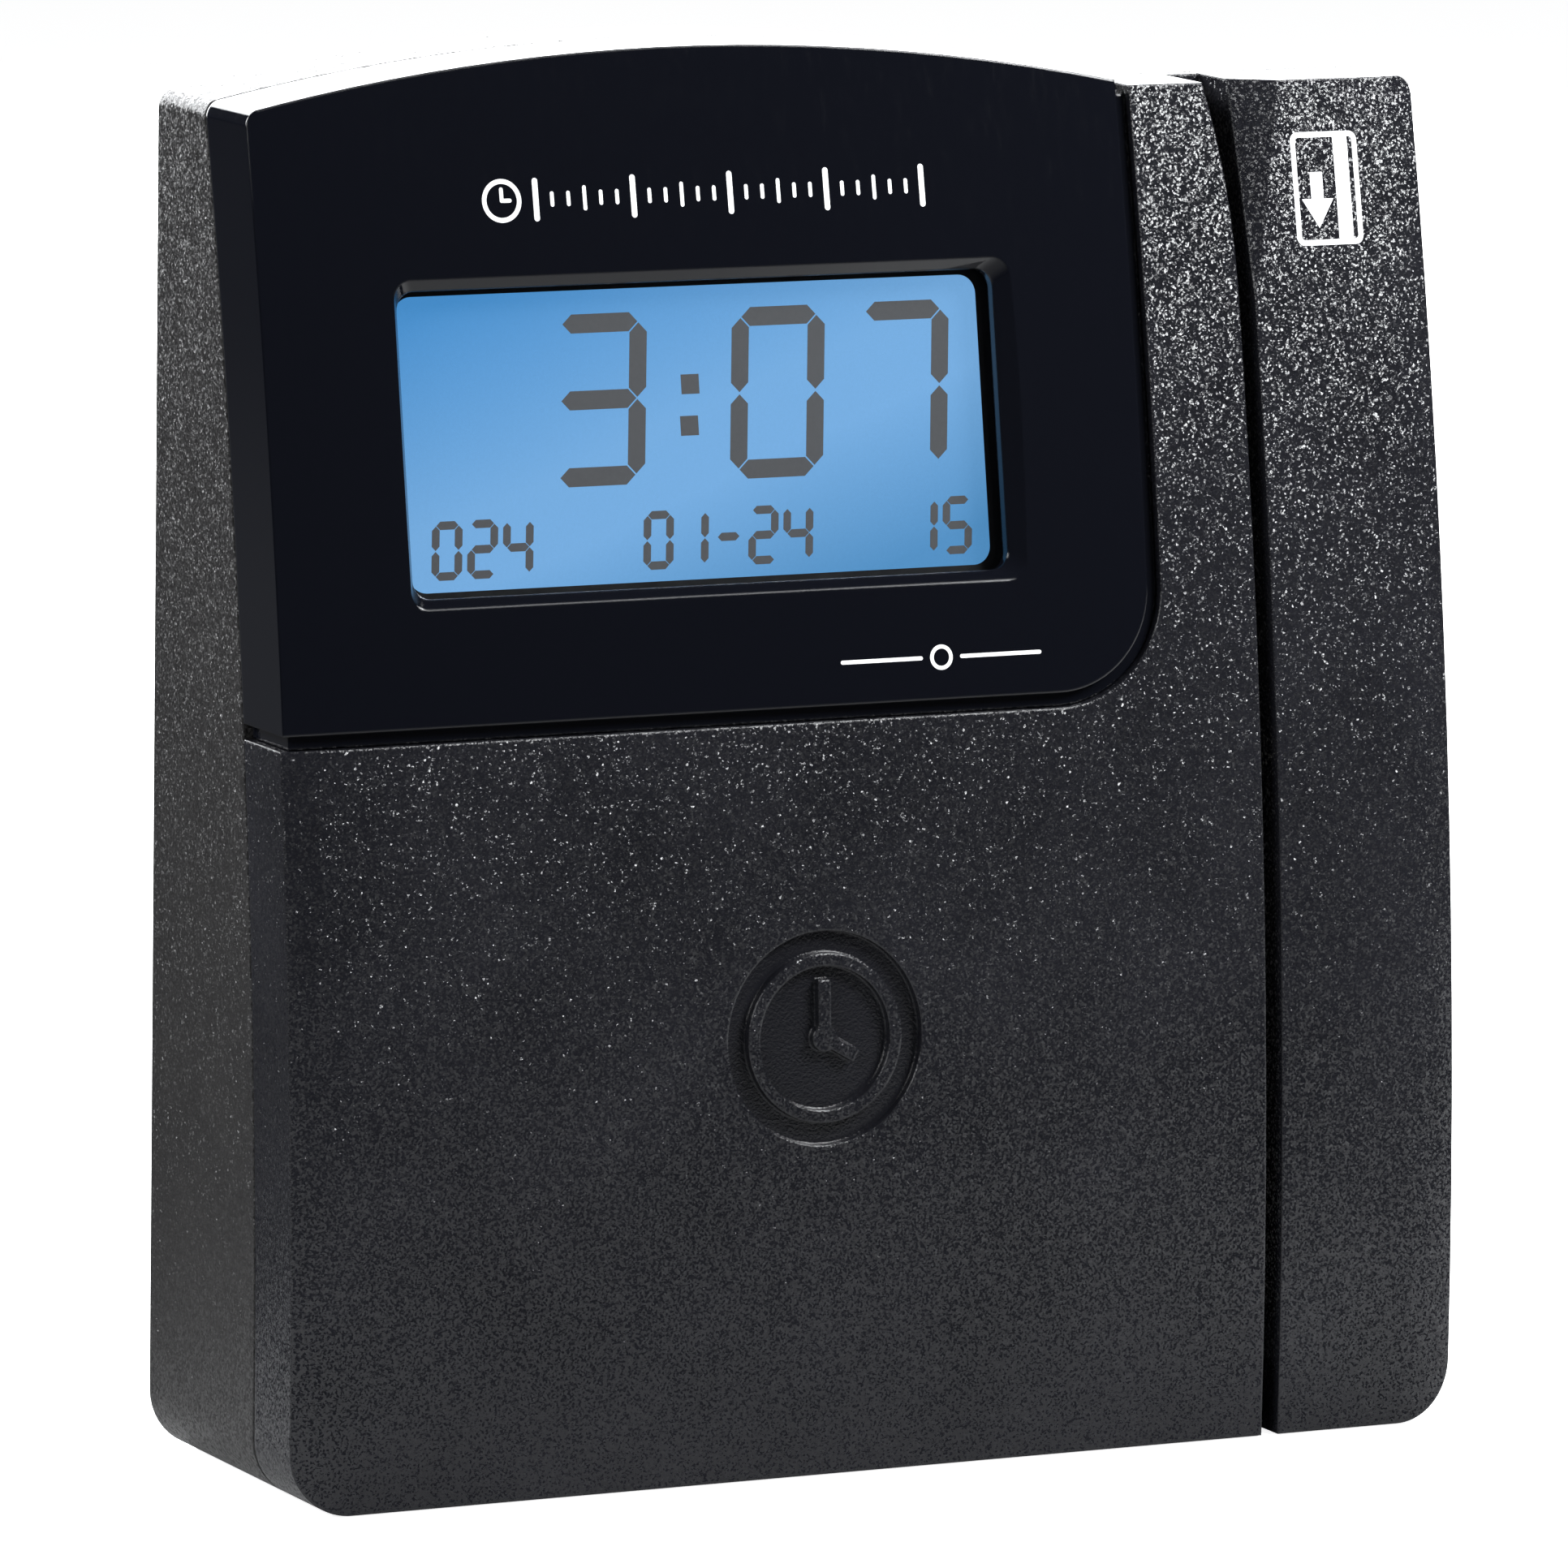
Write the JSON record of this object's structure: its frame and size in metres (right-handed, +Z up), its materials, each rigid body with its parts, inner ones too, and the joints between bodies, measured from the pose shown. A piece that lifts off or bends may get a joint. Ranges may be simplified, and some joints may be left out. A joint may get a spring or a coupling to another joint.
{
  "type": "swipe card time clock",
  "caption": "Wall-mounted time clock with a blue display, a swipe slot for magnetic-stripe cards, and a lift-off wall bracket.",
  "frame": {"origin": "centre of the wall bracket's screw pattern, on the wall plane", "axes": "+Z up, +X to the right seen from the front, the front faces -Y and the wall is on +Y"},
  "size_m": [0.165, 0.0458, 0.181],
  "materials": {
    "textured_case": "fine sparkling grain",
    "rear_shell": "fine matte grain",
    "gloss_black": "polished",
    "clear_pane": "clear acrylic",
    "lcd_blue": "backlit display",
    "light_guide": "milky acrylic",
    "led": "clear resin",
    "foam_tape": "closed-cell foam",
    "inner_plastic": "moulded",
    "contact_rubber": "silicone",
    "circuit_board": "solder mask",
    "chip": "moulded epoxy",
    "capacitor_sleeve": "shrink sleeve",
    "steel": "zinc plated",
    "socket_shell": "tinned sheet",
    "connector_plastic": "moulded",
    "black_plastic": "moulded",
    "ribbon": "polyester film",
    "cable_jacket": "soft vinyl",
    "head_shell": "lapped metal"
  },
  "bodies": {
    "bracket": {"wall_bracket": "steel"},
    "clock": {"rear_case": "rear_shell", "front_cover": "textured_case", "display_bezel": "gloss_black", "bezel_push_nuts": "steel", "window_tape": "foam_tape", "display_window": "clear_pane", "lcd_glass": "lcd_blue", "light_guide": "light_guide", "backlight_leds": "led", "lcd_frame": "inner_plastic", "contact_strips": "contact_rubber", "display_board": "circuit_board", "display_screws": "steel", "display_driver_chip": "chip", "main_board": "circuit_board", "main_board_screws": "steel", "processor_chip": "chip", "memory_chip": "chip", "regulator": "chip", "capacitors": "capacitor_sleeve", "crystal": "steel", "power_jack": "black_plastic", "usb_socket": "socket_shell", "network_socket": "socket_shell", "reset_switch": "steel", "sounder": "black_plastic", "coin_cell": "steel", "cell_holder": "black_plastic", "ribbon_sockets": "connector_plastic", "display_ribbon": "ribbon", "head_connector": "connector_plastic", "head_cable": "cable_jacket", "head_spring": "steel", "head_spring_screws": "steel", "slot_wear_strip": "steel", "case_screws": "steel"},
    "head": {"read_head": "head_shell"},
    "reset": {"reset_plunger": "black_plastic"}
  },
  "joints": [
    {"name": "lift_off", "type": "slide", "parent": "bracket", "child": "clock", "axis": [0, 0, 1], "range_m": [0, 0.007]},
    {"name": "head_float", "type": "slide", "parent": "clock", "child": "head", "axis": [1, 0, 0], "range_m": [0, 0.0008], "stiffness_N_per_m": 400, "deforming": ["head_spring", "head_cable"]},
    {"name": "reset_press", "type": "slide", "parent": "clock", "child": "reset", "axis": [0, 0, 1], "range_m": [0, 0.0003], "stiffness_N_per_m": 200}
  ]
}
